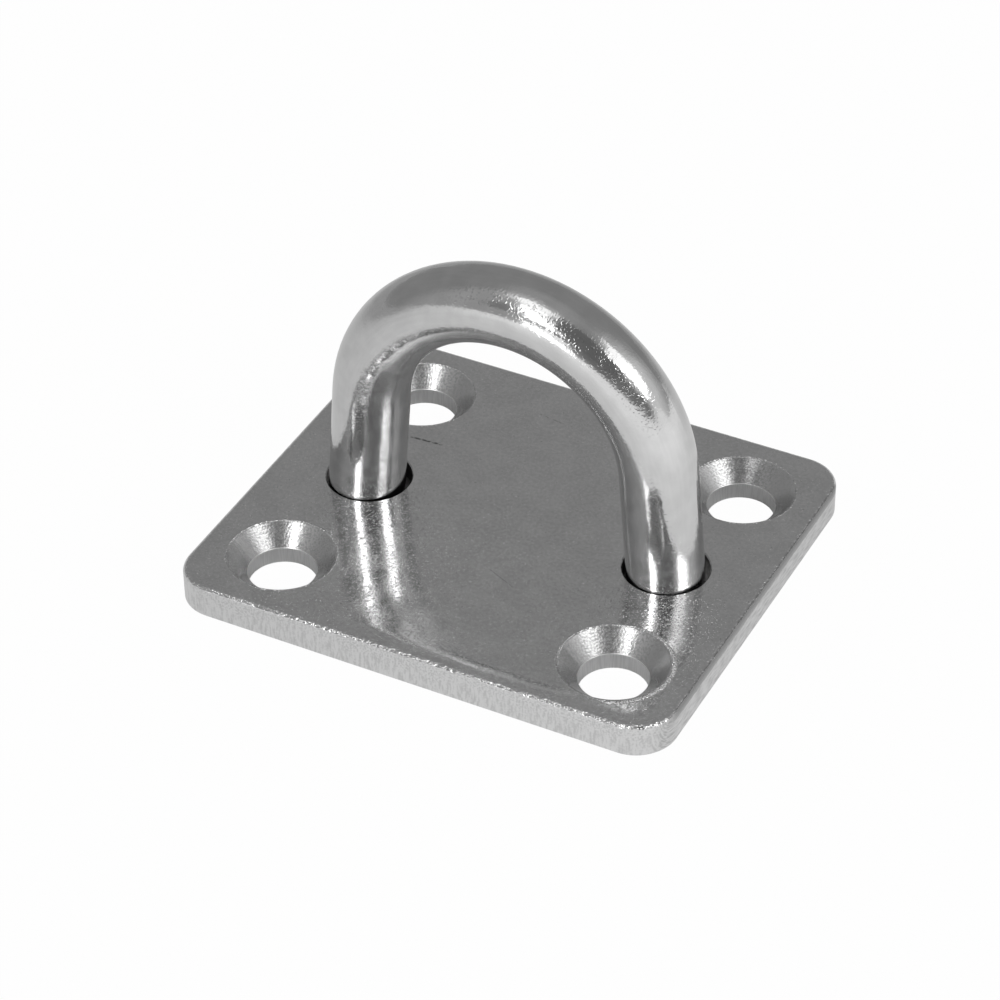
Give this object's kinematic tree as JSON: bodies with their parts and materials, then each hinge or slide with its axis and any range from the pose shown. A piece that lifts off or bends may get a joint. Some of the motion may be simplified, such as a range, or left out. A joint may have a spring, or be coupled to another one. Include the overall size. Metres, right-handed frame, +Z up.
{
  "type": "eye plate",
  "caption": "Rectangular eye plate: a flat plate with countersunk screw holes at its corners and a round bar bow welded in from below as a lashing eye.",
  "frame": {"origin": "middle of the plate's underside", "axes": "+X along the plate's longer side, which the bow spans; +Z up from the deck through the plate"},
  "size_m": [0.04, 0.0344, 0.0254],
  "materials": {
    "plate_steel": "satin polished stainless steel, with fine specks and a few scratches",
    "bow_steel": "mirror polished stainless steel bar",
    "weld_steel": "weld metal, ground flush"
  },
  "bodies": {
    "root": {"base_plate": "plate_steel", "bow": "bow_steel", "weld_left": "weld_steel", "weld_right": "weld_steel"}
  },
  "joints": []
}
